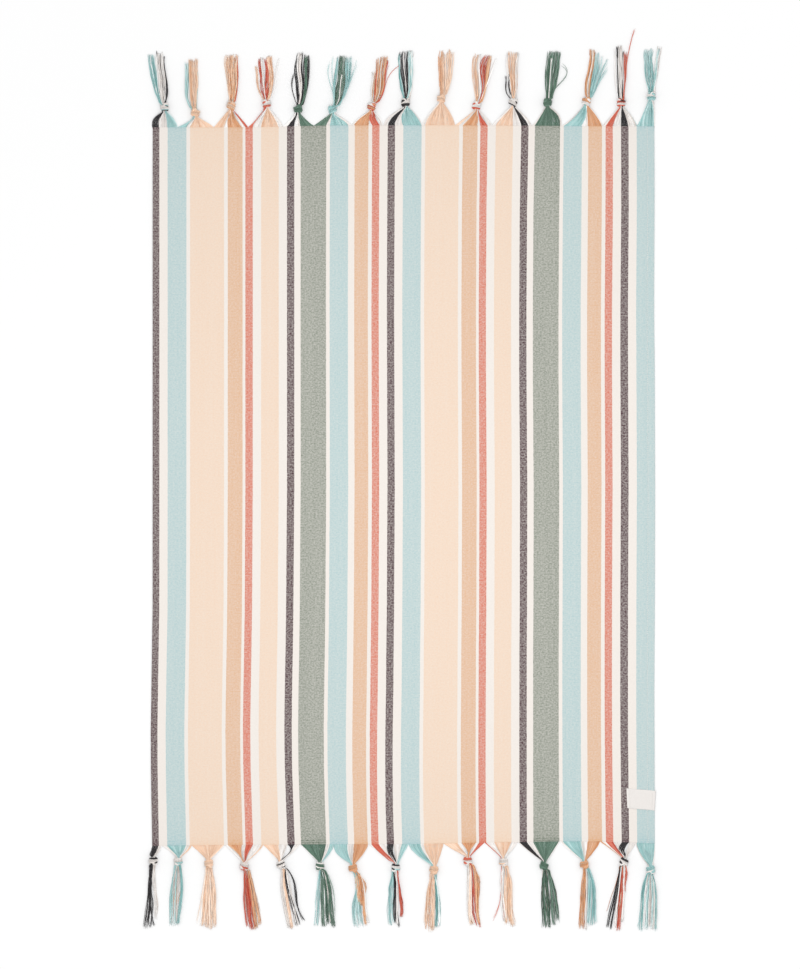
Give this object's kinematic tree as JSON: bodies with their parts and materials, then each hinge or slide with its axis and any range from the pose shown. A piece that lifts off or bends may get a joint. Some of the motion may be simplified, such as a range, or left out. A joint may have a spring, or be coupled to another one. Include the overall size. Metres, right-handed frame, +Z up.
{
  "type": "hammam towel",
  "caption": "Flat-woven cotton hammam towel with lengthwise stripes and knotted warp tassels along both ends, laid out flat, with a small blank label.",
  "frame": {"origin": "under the middle of the towel's overall box, tassels included, on the surface it lies on", "axes": "+Z up out of the face, +Y along the length towards the top tassels, +X across to the edge with the label"},
  "size_m": [1.0046, 1.713, 0.012],
  "materials": {
    "striped_weave": "plain-woven cotton, matt, coloured warp stripes under a white weft",
    "label_tape": "fine cream cotton tape, matt, blank",
    "aqua_yarn": "loose aqua cotton warp yarn, matt",
    "peach_yarn": "loose peach cotton warp yarn, matt",
    "tan_yarn": "loose tan cotton warp yarn, matt",
    "coral_yarn": "loose coral cotton warp yarn, matt",
    "green_yarn": "loose green cotton warp yarn, matt",
    "navy_yarn": "loose navy cotton warp yarn, matt",
    "cream_yarn": "loose cream cotton warp yarn, matt"
  },
  "bodies": {
    "root": {"towel_cloth": "striped_weave", "label": "label_tape", "tassel_top_01": "aqua_yarn", "tassel_top_02": "peach_yarn", "tassel_top_03": "tan_yarn", "tassel_top_04": "coral_yarn", "tassel_top_05": "navy_yarn", "tassel_top_06": "green_yarn", "tassel_top_07": "tan_yarn", "tassel_top_08": "navy_yarn", "tassel_top_09": "peach_yarn", "tassel_top_10": "coral_yarn", "tassel_top_11": "peach_yarn", "tassel_top_12": "green_yarn", "tassel_top_13": "aqua_yarn", "tassel_top_14": "cream_yarn", "tassel_top_15": "aqua_yarn", "tassel_bottom_01": "navy_yarn", "tassel_bottom_02": "aqua_yarn", "tassel_bottom_03": "peach_yarn", "tassel_bottom_04": "coral_yarn", "tassel_bottom_05": "peach_yarn", "tassel_bottom_06": "green_yarn", "tassel_bottom_07": "tan_yarn", "tassel_bottom_08": "aqua_yarn", "tassel_bottom_09": "peach_yarn", "tassel_bottom_10": "tan_yarn", "tassel_bottom_11": "peach_yarn", "tassel_bottom_12": "green_yarn", "tassel_bottom_13": "aqua_yarn", "tassel_bottom_14": "coral_yarn", "tassel_bottom_15": "aqua_yarn"}
  },
  "joints": []
}
